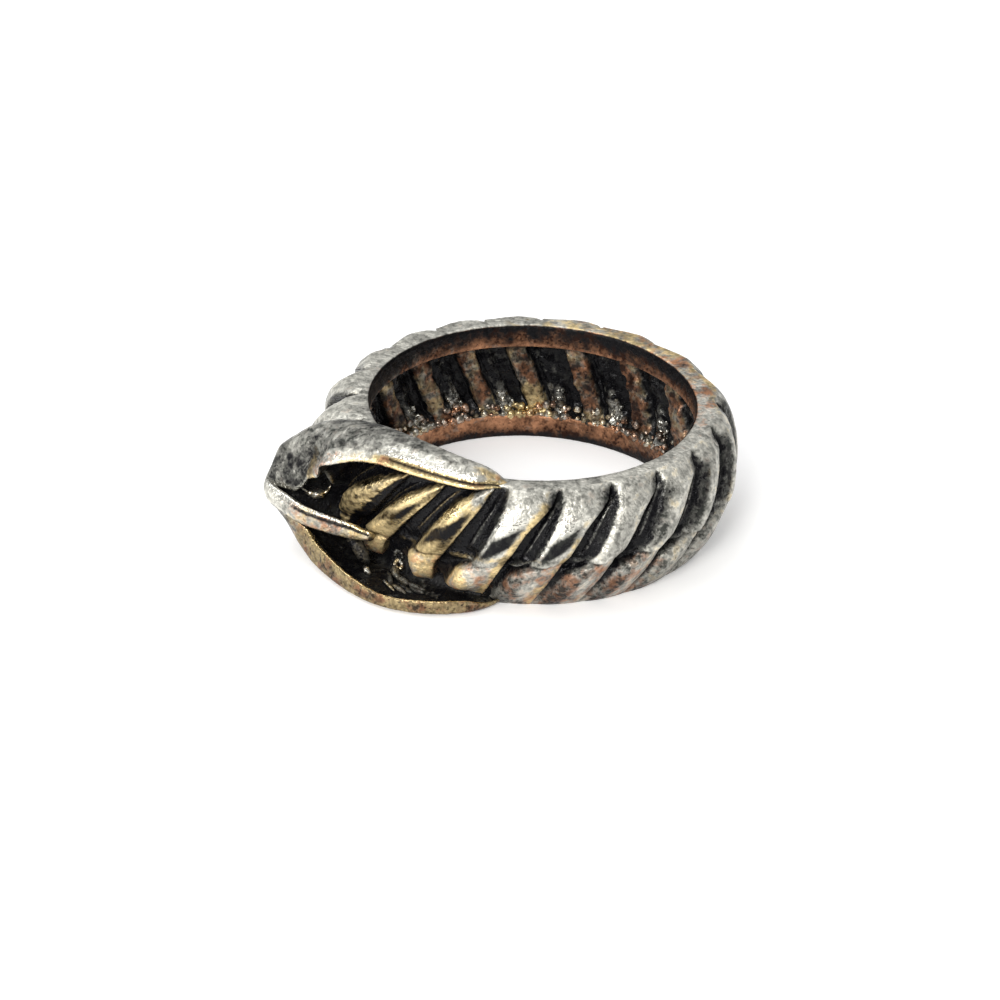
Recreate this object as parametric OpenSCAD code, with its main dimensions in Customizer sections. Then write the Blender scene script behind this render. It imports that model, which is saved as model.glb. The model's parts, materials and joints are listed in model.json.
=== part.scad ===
/* [Band] */
// Radius of the finger hole
bore_r = 8.7; // [8:0.1:10]
// Height of the band from rim to rim
band_h = 6.94; // [6.92:0.02:7.4]
// Width of the smooth collar at each rim
collar_w = 0.77; // [0.7:0.01:0.9]
// How far the fullest part of a rib stands out from the collar
rib_reach = 1.63; // [1.4:0.01:1.8]
// Height of the whole ring, from the lower rim up to the knot's crown
ring_h = 8.2; // [8.1:0.05:8.3]

/* [Inside of the band] */
// Height of each smooth inner rim
rim_h = 1.3; // [1:0.05:1.6]
// How far the channel between the inner rims is set back
channel_d = 0.4; // [0.3:0.05:0.5]
// How far the hollows behind the ribs are set back
hollow_d = 0.98; // [0.6:0.02:1]

/* [Knot] */
// Thickness of the upper lip at the mouth
lip_t = 0.55; // [0.4:0.05:0.7]
// Thickness of the floor inside the mouth
floor_t = 0.45; // [0.4:0.05:0.6]
// Width of the lower lip's rounded edge
sill_w = 0.85; // [0.7:0.05:1]

/* [Smoothness] */
// Most turn between two sections of the knot, in degrees
knot_step = 2.5; // [2.5:0.5:5]
// Sides of the round strand at the front of the mouth
strand_sides = 8; // [6:1:10]

/* [Hidden] */
half_h = band_h / 2;
bore_sides = 192;
// The rough inner rims stand into the bore, which cuts them true
rim_spare = 0.2;
// Heights of the slopes from an inner rim into the channel and into a hollow
channel_slope = 0.1;
hollow_top_slope = 0.45;
hollow_foot_slope = 0.6;
// Angles where the mouth starts behind the tip and runs out past the knot
mouth_start = 201;
mouth_end = 263.6;
// Height of the mouth's roof, and how far its cutter stands out in front
roof_z = 3;
mouth_spare = 1.1;
// Rounding of the knot's foot and of the lips' edges
foot_round = 0.17;
edge_round = 0.11;
// Fullest point of the upper lip: shares of the way from the mouth to the shoulder
bulge_in = 0.45;
bulge_up = 0.68;
// Crown of the upper lip: share of the way from the shoulder in, and its rise
crown_in = 0.7;
crown_rise = 0.084;

// Grooves round the band: angle at the top rim, lean down to the bottom rim, and
// how far the ribs beside it stand out, as a share of their reach
grooves = [
    [264.5, 20, 1.00],
    [280.3, 20.5, 1.00],
    [297, 21, 1.00],
    [313.5, 23, 1.00],
    [331, 25, 1.02],
    [348, 24, 1.04],
    [367, 21, 1.05],
    [388, 18, 1.04],
    [408, 16, 1.03],
    [428.5, 16, 1.03],
    [449, 16, 1.05],
    [468.5, 16, 1.08],
    [486, 17, 1.08],
    [505, 18, 1.10],
    [523, 19, 1.24],
    [541, 20, 1.50],
    [559, 21, 1.64],
    [577, 24, 1.02],
    [594, 27, 0.82],
    [609.5, 24, 0.82],
    [624.5, 20, 1.00]
];

// Across one rib: share of the way to the next groove, height, bar inside
rib_profile = [
    [0.00, 0.00, 0],
    [0.10, 0.05, 0],
    [0.19, 0.42, 0],
    [0.30, 0.80, 0],
    [0.41, 0.97, 0],
    [0.51, 1.00, 1],
    [0.61, 0.93, 1],
    [0.70, 0.76, 1],
    [0.77, 0.08, 0],
    [0.88, 0.00, 0]
];

// Up the outside: height as a share of half the band, reach of a crest, of a groove
outside_profile = [
    [-1.000, 0.05, 0.00],
    [-0.820, 0.36, 0.14],
    [-0.590, 0.65, 0.28],
    [-0.360, 0.80, 0.36],
    [-0.215, 0.79, 0.38],
    [-0.115, 0.95, 0.41],
    [0.030, 1.00, 0.43],
    [0.290, 0.98, 0.43],
    [0.550, 0.87, 0.35],
    [0.780, 0.68, 0.20],
    [0.930, 0.44, 0.04],
    [1.000, 0.14, -0.12]
];

// Knot, section by section round the ring. Each pair is a distance out from the
// finger hole and a height: angle, inner top edge, shoulder, upper edge of the
// mouth, lower lip, foot
knot_sections = [
    [180, 1.60, 0.60, 1.80, 0.50, 1.90, 0.00, 1.90, -0.20, 1.70, -0.80],
    [185, 1.75, 1.50, 2.60, 1.35, 3.10, 0.25, 3.00, -0.35, 2.60, -1.50],
    [189, 1.85, 2.10, 3.30, 1.95, 4.25, 0.35, 4.10, -0.40, 3.30, -1.90],
    [193, 1.90, 2.85, 3.80, 2.50, 5.25, 0.35, 5.20, -0.35, 4.10, -2.00],
    [196, 1.90, 3.30, 3.90, 2.90, 5.85, 0.32, 5.85, -0.30, 4.60, -2.15],
    [199, 1.80, 3.70, 3.55, 3.60, 5.65, 0.60, 5.65, -0.50, 4.70, -2.45],
    [203, 1.50, 4.05, 3.15, 4.12, 5.25, 1.00, 5.40, -1.00, 4.60, -2.80],
    [207, 0.90, 4.25, 2.65, 4.30, 4.70, 1.70, 5.15, -1.55, 4.45, -3.10],
    [212, 0.50, 4.42, 2.20, 4.43, 4.00, 2.75, 4.80, -2.10, 4.40, -3.30],
    [218, 0.25, 4.55, 1.80, 4.55, 3.10, 3.35, 4.50, -2.45, 4.30, -3.42],
    [225, 0.15, 4.62, 1.40, 4.65, 2.50, 3.60, 4.40, -2.60, 4.25, -3.45],
    [235, 0.10, 4.62, 1.20, 4.66, 2.20, 3.65, 4.30, -2.70, 4.15, -3.45],
    [245, 0.10, 4.47, 1.10, 4.50, 2.00, 3.60, 3.65, -2.75, 3.50, -3.45],
    [254, 0.10, 4.20, 0.90, 4.22, 1.75, 3.50, 2.75, -2.85, 2.55, -3.45],
    [259, 0.12, 3.85, 0.65, 3.87, 1.20, 3.45, 1.90, -2.95, 1.70, -3.45],
    [263, 0.25, 3.40, 0.50, 3.41, 0.65, 3.20, 0.80, -3.15, 0.70, -3.42]
];

// Back of the knot, sunk in the band's wall: share of the way up, distance out
// from the finger hole. It stops a little below the inner top edge
knot_back = [
    [1.00, 0.60],
    [0.85, 1.05],
    [0.60, 1.18],
    [0.35, 1.18],
    [0.12, 0.90],
    [0.00, 0.60]
];
back_top = 3.1;
back_drop = 0.45;

// Inner side of the lower lip: share of its width in from the lip, drop below it
sill_profile = [
    [0.7, 0.30],
    [0.3, 0.02]
];
sill_foot = 1.25;

// Strand from the tip across the mouth: angle, distance out from the finger hole,
// height, half height, half depth
strand_sections = [
    [194.5, 5.45, 0.00, 0.30, 0.30],
    [199.5, 5.60, -0.10, 0.50, 0.35],
    [204.0, 5.10, -0.30, 0.54, 0.38],
    [208.7, 4.55, -0.50, 0.52, 0.38],
    [214.0, 3.45, -0.75, 0.44, 0.36],
    [217.5, 2.70, -0.92, 0.32, 0.32],
    [222.0, 2.20, -1.00, 0.24, 0.28],
    [227.0, 1.75, -0.90, 0.16, 0.22]
];

function mix(a, b, f) = a + (b - a) * f;

// Point at an angle, a distance out from the finger hole and a height
function polar(angle, out, z) = [(bore_r + out) * cos(angle), (bore_r + out) * sin(angle), z];

// Evenly spread angles, no more than knot_step apart
function turns(first, last) =
    let(steps = ceil((last - first) / knot_step))
    [for (i = [0:steps]) mix(first, last, i / steps)];

function turns_of(table) = turns(table[0][0], table[len(table) - 1][0]);

// Row of a table at a given first column, on a smooth curve through its rows
function row_before(table, x, i = 0) =
    i >= len(table) - 2 || x < table[i + 1][0] ? i : row_before(table, x, i + 1);

function row_at(table, x) =
    let(
        i = row_before(table, x),
        a = table[max(i - 1, 0)],
        b = table[i],
        c = table[i + 1],
        d = table[min(i + 2, len(table) - 1)],
        gap = c[0] - b[0],
        f = (x - b[0]) / gap,
        slope_b = (c - a) / (c[0] - a[0]) * gap,
        slope_c = (d - b) / (d[0] - b[0]) * gap
    )
    (2 * f * f * f - 3 * f * f + 1) * b + (f * f * f - 2 * f * f + f) * slope_b
        + (3 * f * f - 2 * f * f * f) * c + (f * f * f - f * f) * slope_c;

// Solid through rings of points; a loop joins the last ring to the first
module loft(rings, loop = false) {
    n = len(rings[0]);
    last = loop ? len(rings) - 1 : len(rings) - 2;
    sides = [
        for (i = [0:last], j = [0:n - 1])
            let(
                k = (i + 1) % len(rings),
                m = (j + 1) % n
            )
            each [
                [i * n + j, k * n + m, k * n + j],
                [i * n + j, i * n + m, k * n + m]
            ]
    ];
    ends = [
        [for (j = [n - 1:-1:0]) j],
        [for (j = [0:n - 1]) (len(rings) - 1) * n + j]
    ];
    polyhedron([for (ring = rings) each ring], loop ? sides : concat(sides, ends));
}

// One upright section of the band, sheared along the ribs' lean
function band_section(i, part) =
    let(
        share = part[0],
        top_angle = mix(grooves[i][0], grooves[i + 1][0], share),
        lean = mix(grooves[i][1], grooves[i + 1][1], share),
        reach = rib_reach * mix(grooves[i][2], grooves[i + 1][2], share),
        back = part[2] == 1 ? channel_d : hollow_d,
        step_z = half_h - rim_h,
        outside = [
            for (p = outside_profile)
                [collar_w + reach * mix(p[2], p[1], part[1]), p[0] * half_h]
        ],
        inside = [
            [-rim_spare, half_h],
            [-rim_spare, step_z],
            [channel_d, step_z - channel_slope],
            [back, step_z - hollow_top_slope],
            [back, -step_z + hollow_foot_slope],
            [channel_d, -step_z + channel_slope],
            [-rim_spare, -step_z],
            [-rim_spare, -half_h]
        ]
    )
    [
        for (p = concat(outside, inside))
            polar(top_angle - lean * (half_h - p[1]) / band_h, p[0], p[1])
    ];

module band() {
    loft([
        for (i = [0:len(grooves) - 2], part = rib_profile)
            band_section(i, part)
    ], loop = true);
}

// Outline of the knot's body at one angle: foot, lips, crown, and down the back
function knot_outline(angle) =
    let(
        s = row_at(knot_sections, angle),
        foot = [s[9], s[10]],
        lip = [s[7], s[8]],
        mouth = [s[5], s[6]],
        shoulder = [s[3], s[4]],
        top = [s[1], s[2]],
        back_z = min(back_top, top[1] - back_drop),
        front = [
            foot - [foot_round, 0],
            foot + [foot_round / 2, foot_round],
            lip,
            mouth - [edge_round / 2, edge_round],
            mouth + [0, edge_round],
            [mix(mouth[0], shoulder[0], bulge_in), mix(mouth[1], shoulder[1], bulge_up)],
            shoulder,
            mix(shoulder, top, crown_in) + [0, crown_rise],
            top - [0, edge_round]
        ],
        back = [for (p = knot_back) [p[1], mix(foot[1], back_z, p[0])]]
    )
    [for (p = concat(front, back)) polar(angle, p[0], p[1])];

// Outline of the hollow between the lips at one angle
function hollow_outline(angle) =
    let(
        s = row_at(knot_sections, angle),
        lip = [s[7], s[8]],
        mouth = [s[5], s[6]],
        floor_z = s[10] + floor_t,
        points = concat(
            [
                [-rim_spare, floor_z],
                [lip[0] - sill_w * sill_foot, floor_z]
            ],
            [for (p = sill_profile) lip - [sill_w * p[0], p[1]]],
            [
                lip + [mouth_spare, 0],
                mouth + [mouth_spare, 0],
                mouth - [edge_round, edge_round],
                mouth - [lip_t, lip_t],
                [-rim_spare, min(roof_z, mouth[1] - lip_t)]
            ]
        )
    )
    [for (p = points) polar(angle, p[0], p[1])];

module knot_body() {
    loft([for (angle = turns_of(knot_sections)) knot_outline(angle)]);
}

module mouth_hollow() {
    loft([for (angle = turns(mouth_start, mouth_end)) hollow_outline(angle)]);
}

module strand() {
    loft([
        for (angle = turns_of(strand_sections))
            let(s = row_at(strand_sections, angle))
            [
                for (j = [0:strand_sides - 1])
                    let(turn = 360 * j / strand_sides)
                    polar(angle, s[1] + s[4] * cos(turn), s[2] + s[3] * sin(turn))
            ]
    ]);
}

// One casting: ribbed band, knot and strand, brought to its full height, and then
// the finger hole cut through it
module knot_ring() {
    color("silver")
    difference() {
        resize([0, 0, ring_h]) {
            band();
            difference() {
                knot_body();
                mouth_hollow();
            }
            strand();
        }
        cylinder(h = 2 * band_h, r = bore_r, center = true, $fn = bore_sides);
    }
}

knot_ring();
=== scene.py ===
# %% [markdown]
# This ring is one piece of cast metal: a band of slanted, rope-like ribs whose two
# ends run into the open mouth of a knot. A caster would fill one mould, so the
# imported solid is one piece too. Here the same casting is made again with a fine
# skin, in the same place and at the same size, so that the ribs can be round, the
# grooves can have soft floors and every surface can carry its own tarnish.

# %% Frame and sizes
import json
import math
import random
from functools import partial
from types import SimpleNamespace

import bmesh
import bpy
from mathutils import Matrix, Vector, noise
from mathutils.bvhtree import BVHTree


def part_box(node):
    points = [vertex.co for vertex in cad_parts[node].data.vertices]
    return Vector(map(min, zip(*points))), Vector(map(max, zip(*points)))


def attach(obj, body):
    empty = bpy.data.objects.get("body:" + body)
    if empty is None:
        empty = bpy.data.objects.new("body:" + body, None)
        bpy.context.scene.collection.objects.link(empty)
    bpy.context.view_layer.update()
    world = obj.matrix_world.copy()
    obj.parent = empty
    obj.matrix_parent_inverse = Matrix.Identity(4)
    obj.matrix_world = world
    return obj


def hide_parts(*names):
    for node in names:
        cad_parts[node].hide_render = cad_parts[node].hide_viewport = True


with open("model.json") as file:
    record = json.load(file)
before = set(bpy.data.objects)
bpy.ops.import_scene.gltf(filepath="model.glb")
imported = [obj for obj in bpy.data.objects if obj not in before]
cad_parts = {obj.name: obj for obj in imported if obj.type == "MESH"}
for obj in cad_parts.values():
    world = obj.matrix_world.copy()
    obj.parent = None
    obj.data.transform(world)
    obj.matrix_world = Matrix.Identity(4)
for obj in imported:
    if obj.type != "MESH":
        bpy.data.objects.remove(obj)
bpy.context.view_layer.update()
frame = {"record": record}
record = frame["record"]

MM = 0.001
NODE = "knot_ring"
BODY = "root"
BORE_R = record["mounts"][0]["dims"]["r_mm"]
node_low, node_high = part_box(NODE)
HALF_H = -node_low.z / MM
print(f"finger hole {2 * BORE_R} mm across, band {2 * HALF_H:.2f} mm high")
print(f"knot {(node_high.z - node_low.z) / MM:.2f} mm high")

# %% [markdown]
# Most forms here are read from short tables, as a carver reads a drawing: a row for
# each place along the ring, a column for each size. Two helpers look a table up:
# ramp joins the rows with straight lines, which suits widths and wear, and row_at
# with a smooth curve, which suits outlines that light runs along. Where two forms
# meet, ease leads softly from one to the other, and hump swells round one place.

# %% Reading tables
def mix(a, b, share):
    return a + (b - a) * share


def ease(low, high, x):
    share = min(max((x - low) / (high - low), 0.0), 1.0)
    return share * share * (3 - 2 * share)


def mix_all(a, b, share):
    return tuple(mix(p, q, share) for p, q in zip(a, b))


def hump(centre, width, x):
    return math.exp(-(((x - centre) / width) ** 2))


def ramp(x, *rows):
    for (x0, y0), (x1, y1) in zip(rows, rows[1:]):
        if x < x1:
            return mix(y0, y1, max(0.0, (x - x0) / (x1 - x0)))
    return rows[-1][1]


def row_at(table, x):
    i = 0
    while i < len(table) - 2 and x >= table[i + 1][0]:
        i += 1
    a, b, c, d = table[max(i - 1, 0)], table[i], table[i + 1], table[min(i + 2, len(table) - 1)]
    gap = c[0] - b[0]
    f = (x - b[0]) / gap
    weights = (
        2 * f**3 - 3 * f**2 + 1,
        (f**3 - 2 * f**2 + f) * gap / (c[0] - a[0]),
        3 * f**2 - 2 * f**3,
        (f**3 - f**2) * gap / (d[0] - b[0]),
    )
    return [
        weights[0] * b[k] + weights[1] * (c[k] - a[k]) + weights[2] * c[k] + weights[3] * (d[k] - b[k])
        for k in range(1, len(b))
    ]


# %% [markdown]
# A caster measures a ring from the finger hole: an angle round it, how far out from
# its wall, and how high above the middle of the band. The next cell turns those into
# a place in metres, and gives the noise that makes a cast surface uneven.

# %% Places round the ring
def polar(angle, out, z):
    turn = math.radians(angle)
    r = (BORE_R + out) * MM
    return Vector((r * math.cos(turn), r * math.sin(turn), z * MM))


def grain(angle, z, size, seed):
    turn = math.radians(angle)
    at = Vector((BORE_R * math.cos(turn), BORE_R * math.sin(turn), z)) / size
    return noise.noise(at + Vector((seed, 0, 0)))


# %% [markdown]
# The camera comes first. It stands 215 mm away, looks down at 29 degrees and leans about
# two degrees, and its frame is shifted because the ring doesn't sit in the middle.

# %% Camera
CAMERA_AWAY = 215 * MM
CAMERA_UP = math.radians(28.794)
CAMERA_LEAN = math.radians(2.206)
SENSOR = 36.0
FOCAL_PIXELS = 4022.3
IMAGE = 1000
RING_CENTRE_X = 530.81
RING_CENTRE_Y = 457.19

camera_data = bpy.data.cameras.new("camera")
camera_data.sensor_width = SENSOR
camera_data.lens = FOCAL_PIXELS * SENSOR / IMAGE
camera_data.shift_x = (IMAGE / 2 - RING_CENTRE_X) / IMAGE
camera_data.shift_y = (RING_CENTRE_Y - IMAGE / 2) / IMAGE
camera_data.clip_start = 0.01
camera = bpy.data.objects.new("camera", camera_data)
camera.matrix_world = (
    Matrix.Translation((0, -CAMERA_AWAY * math.cos(CAMERA_UP), CAMERA_AWAY * math.sin(CAMERA_UP)))
    @ Matrix.Rotation(math.pi / 2 - CAMERA_UP, 4, "X")
    @ Matrix.Rotation(CAMERA_LEAN, 4, "Z")
)
bpy.context.scene.collection.objects.link(camera)
bpy.context.scene.camera = camera
print(f"camera lens {camera_data.lens:.1f} mm")

# %% [markdown]
# Every long form of the casting, the band, the knot and the strand, is a section
# that is carried round the ring. Spin does that: it turns one outline about the
# finger hole's axis. A layer on the outline's points keeps their number, so after
# the spin each point can be looked up and moved to where its own section has it.
# Four more layers keep how the metal is finished there.

# %% Carrying a section round the ring
FINISHES = ("oxide", "brass", "copper", "polish")


def new_piece(name, bm):
    mesh = bpy.data.meshes.new(name)
    bm.to_mesh(mesh)
    bm.free()
    mesh.shade_smooth()
    piece = bpy.data.objects.new(name, mesh)
    bpy.context.scene.collection.objects.link(piece)
    print(f"{name}: {len(mesh.vertices)} points, {len(mesh.polygons)} faces")
    return piece


def carry_round(name, sections, first, last, skin, cuts=0):
    """sections: outlines of (place, finish) from angle first to last; a full turn is closed.
    skin: how far the cast surface stands out at a place, in mm."""
    closed = last - first >= 360
    steps = len(sections) if closed else len(sections) - 1
    step = (last - first) / steps
    bm = bmesh.new()
    number = bm.verts.layers.int.new("number")
    start = []
    for place, _ in sections[0]:
        start.append(bm.verts.new(place))
    for k, point in enumerate(start):
        point[number] = k
    edges = [bm.edges.new((a, b)) for a, b in zip(start, start[1:] + start[:1])]
    bmesh.ops.spin(
        bm,
        geom=start + edges,
        cent=(0, 0, 0),
        axis=(0, 0, 1),
        angle=math.radians(last - first),
        steps=steps // (cuts + 1),
        use_merge=closed,
    )
    if cuts:
        along = [e for e in bm.edges if e.verts[0][number] == e.verts[1][number]]
        bmesh.ops.subdivide_edges(bm, edges=along, cuts=cuts, use_grid_fill=True)
    layers = [bm.verts.layers.float.new(finish) for finish in FINISHES]
    origin = [math.degrees(math.atan2(place.y, place.x)) for place, _ in sections[0]]
    for point in bm.verts:
        angle = math.degrees(math.atan2(point.co.y, point.co.x))
        turned = (angle - origin[point[number]] + step / 2) % 360
        section = sections[min(int(turned / step), len(sections) - 1)]
        place, finish = section[point[number]]
        point.co = place
        for layer, value in zip(layers, finish):
            point[layer] = min(max(value, 0.0), 1.0)
    if not closed:
        rims = [e for e in bm.edges if e.is_boundary]
        bmesh.ops.holes_fill(bm, edges=rims, sides=0)
    bmesh.ops.recalc_face_normals(bm, faces=bm.faces)
    bm.normal_update()
    moves = [point.normal * skin(point.co / MM) * MM for point in bm.verts]
    for point, move in zip(bm.verts, moves):
        point.co += move
    return new_piece(name, bm)


# %% [markdown]
# The band. Its ribs lean, so each upright section of the mesh leans with them and
# the mesh lines follow the ribs. Across one rib the form is not even: it rises
# softly out of its groove on the left and breaks off sharply on the right, over the
# next groove. Half way down runs the mould's parting line, where the upper part of
# each rib hangs a little over the lower part.

# %% Band: tables
# wall at the collars, reach of the ribs past it, and where a rib's sharp edge is
COLLAR = 0.77
RIB_REACH = 1.63
EDGE_SHARE = 0.73

# angle of the groove at the top rim, lean down to the bottom rim, reach of the ribs
GROOVES = [
    (264.5, 20, 1.00),
    (280.3, 20.5, 1.00),
    (297, 21, 1.00),
    (313.5, 23, 1.00),
    (331, 25, 1.02),
    (348, 24, 1.04),
    (367, 21, 1.05),
    (388, 18, 1.04),
    (408, 16, 1.03),
    (428.5, 16, 1.03),
    (449, 16, 1.05),
    (468.5, 16, 1.08),
    (486, 17, 1.08),
    (505, 18, 1.10),
    (523, 19, 1.24),
    (541, 20, 1.50),
    (559, 21, 1.64),
    (577, 24, 1.02),
    (594, 27, 0.82),
    (609.5, 24, 0.82),
    (624.5, 20, 1.00),
]
RIBS = len(GROOVES) - 1

# height as a share of half the band, reach of a crest, of a groove's floor
OUTSIDE = [
    (-1.00, 0.05, 0.00),
    (-0.96, 0.14, 0.04),
    (-0.82, 0.38, 0.12),
    (-0.59, 0.68, 0.26),
    (-0.36, 0.86, 0.34),
    (-0.15, 0.95, 0.38),
    (0.03, 1.00, 0.42),
    (0.29, 0.98, 0.42),
    (0.55, 0.87, 0.34),
    (0.78, 0.68, 0.20),
    (0.93, 0.44, 0.06),
    (0.98, 0.30, 0.06),
    (1.00, 0.14, 0.05),
]

# height as a share of half the band, reach of a lobe inside the knot's mouth
LOBES = [
    (-1.00, 0.02),
    (-0.90, 0.04),
    (-0.80, 0.30),
    (-0.71, 0.72),
    (-0.58, 0.90),
    (-0.44, 0.92),
    (-0.30, 0.86),
    (-0.10, 0.76),
]

# point of the outline, its height as a share of half the band
OUTER_HEIGHTS = [
    (0, -1.0), (5, -0.93), (14, -0.5), (20, -0.24), (28, -0.10), (41, 0.5), (48, 0.88), (53, 1.0),
]
OUTER_STATIONS = OUTER_HEIGHTS[-1][0] + 1

# step from a groove to the next, share of the way; most steps are at the sharp edge
RIB_SPREAD = [(0, 0.0), (12, 0.34), (22, 0.66), (36, 0.80), (44, 1.0)]
RIB_STEPS = RIB_SPREAD[-1][0]
RING_CUTS = 3
print(f"{RIBS} ribs, {RIBS * RIB_STEPS} sections")

# %% [markdown]
# Each rib has a soft left border and a sharp right edge, given as shares of the way
# from its groove to the next. Near the rims the edges run together. Inside the
# knot's mouth the last three ribs are leaves: their left borders curve over to a
# point. Below the parting line the same ribs go on as shorter lobes.

# %% Band: where a rib starts and ends
# rib in the mouth: rows of height, left border, right edge
LEAVES = {
    RIBS - 3: [
        (-0.45, -0.06, 0.50),
        (-0.30, -0.04, 0.66),
        (-0.14, -0.02, 0.84),
        (0.06, 0.03, 0.92),
        (0.30, 0.16, 0.95),
        (0.50, 0.33, 0.96),
        (0.64, 0.48, 0.97),
        (0.76, 0.70, 0.98),
        (0.85, 0.96, 0.98),
    ],
    RIBS - 2: [
        (-0.40, -0.10, 0.54),
        (-0.15, -0.02, 0.58),
        (0.00, 0.04, 0.61),
        (0.30, 0.12, 0.67),
        (0.57, 0.22, 0.74),
        (0.69, 0.36, 0.76),
        (0.80, 0.50, 0.78),
        (0.90, 0.74, 0.78),
    ],
    RIBS - 1: [
        (-0.30, 0.06, 0.60),
        (0.00, 0.08, 0.63),
        (0.30, 0.10, 0.65),
        (0.55, 0.13, 0.67),
        (0.72, 0.20, 0.69),
        (0.84, 0.32, 0.70),
        (0.92, 0.48, 0.71),
        (0.97, 0.69, 0.71),
    ],
}
# rib in the mouth: left border and right edge of its lobe, at its top and at its foot
LOBE_BORDERS = {
    RIBS - 3: (-0.10, 0.60, 0.10, 0.60),
    RIBS - 2: (-0.10, 0.52, 0.18, 0.58),
    RIBS - 1: (0.00, 0.58, 0.28, 0.69),
}
LEFT, RIGHT = 0, 1

# height, left border of an open rib
LEFT_BORDER = [(-1, -0.10), (-0.35, -0.08), (-0.20, 0.15), (0.15, 0.15), (0.5, 0.11), (0.8, 0.07), (1, -0.02)]
# rib, how much narrower it is above the parting line
NARROWER = [
    (0, 0.0), (1, 0.03), (3, 0.08), (6, 0.09), (8, 0.0), (10, 0.0), (12, 0.12), (15, 0.12), (16, 0.0),
]
# rib, height where its sharp edge starts to close the groove
CLOSING = [(0, 0.30), (2, 0.50), (4, 0.65)]


def mouth_border(i, t, side):
    """A border of a rib in the mouth: a leaf above, a lobe below."""
    rows = LEAVES[i]
    leaf = row_at(rows, min(max(t, rows[0][0]), rows[-1][0]))[side]
    top, foot = LOBE_BORDERS[i][side], LOBE_BORDERS[i][side + 2]
    lobe = mix(top, foot, ease(0.35, 0.75, -t))
    return mix(leaf, lobe, ease(0.22, 0.38, -t))


def right_edge(i, t):
    if i in LEAVES:
        return mouth_border(i, t, RIGHT)
    return EDGE_SHARE + 0.02 * ease(0.3, 0.9, t) + 0.20 * ease(ramp(i, *CLOSING), 1.0, t)


def left_border(i, t):
    if i in LEAVES:
        return mouth_border(i, t, LEFT)
    upper = ease(-0.3, 0.0, t) * (1 - ease(0.7, 1.0, t))
    return ramp(i, *NARROWER) * upper + ramp(t, *LEFT_BORDER)


def rib_height(i, share, t):
    """Height of rib i over its groove at one share of its period, and the way across it."""
    left, right = left_border(i, t), right_edge(i, t)
    if share >= right or right - left < 0.02:
        return 0.0, 1.0
    across = (share - left) / (right - left)
    soft = 0.10 if i in LEAVES else ramp(t, (-0.4, 0.14), (-0.2, 0.12), (0.8, 0.12), (1, 0.08))
    soft = min(soft, (right - left) / 2)
    up = ease(left - soft, left + soft, share)
    drop = mix(0.62, 0.76, ease(0.6, 0.95, t))
    dome = 1 - drop * ease(0.26, 1.10, across) ** 1.2 - 0.22 * (1 - ease(0.06, 0.42, across))
    return up * dome * (1 - ease(right - 0.03, right, share)), across


# %% [markdown]
# The next cells turn the tables into one point of the outside. The mould's parting
# line lowers what lies under it, a little on the open ribs and more in the mouth.
# Each groove has a small ledge there with a dark hole below, and a thin ridge above.

# %% Band: what lies in a groove
# angles where the ribs face the viewer most, and where the back is
FRONT = 285
BACK = 168

# angle, height of the mould's parting line
PARTING = [(205, -1.30), (215, -1.20), (227, -0.92), (240, -0.80), (256, -0.72), (280, -0.42)]


def parting_height(azimuth):
    return ramp(azimuth, *PARTING) + 0.10 * grain(azimuth, 0, 2.2, 7.0)


def ledge_at(spot):
    wobble = noise.noise(Vector((spot.groove * 3.7, 1.3, 0)))
    middle = hump(spot.parting + 0.10, 0.17, spot.z) * hump(0.45, 0.45, spot.way)
    return (0.36 + 0.25 * wobble) * middle * spot.front


def streak_at(spot):
    upper = ease(-0.1, 0.1, spot.t) * (1 - ease(0.78, 0.92, spot.t))
    return 0.07 * hump(0.55 * spot.gap, 0.030, spot.past) * upper * (1 - ease(0.15, 0.4, spot.height))


def groove_floor(spot, floor):
    """The floor with its ledge, its hole, its deeper part at the back and its slope."""
    t, past = spot.t, spot.past
    hole = 0.18 * hump(spot.parting - 0.34, 0.24, spot.z) * hump(0.08, 0.14, past) * spot.front
    floor += (spot.ledge - hole) * (1 - 0.7 * spot.mouth)
    deeper = 0.22 * (1 - spot.front) * ease(0.80, 0.97, t)
    deeper += 0.20 * hump(BACK, 36, spot.azimuth) * ease(0.2, 0.8, t)
    floor -= deeper * hump(0.16, 0.20, past)
    slope = 0.26 * ease(0.30, 1.0, spot.way) * ease(-0.15, 0.05, t) * (1 - ease(0.80, 0.95, t))
    return floor + slope * (1 - 0.5 * spot.mouth)


# %% [markdown]
# Shape and tarnish both ask where a point of the mesh lies: on which rib, how far
# across it, how far past the last edge, above or below the parting line. So this is
# worked out once, and kept together under one name, the spot. Its front, mouth, west
# and east are 1 inside that part of the ring and fade to 0 outside it.

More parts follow.
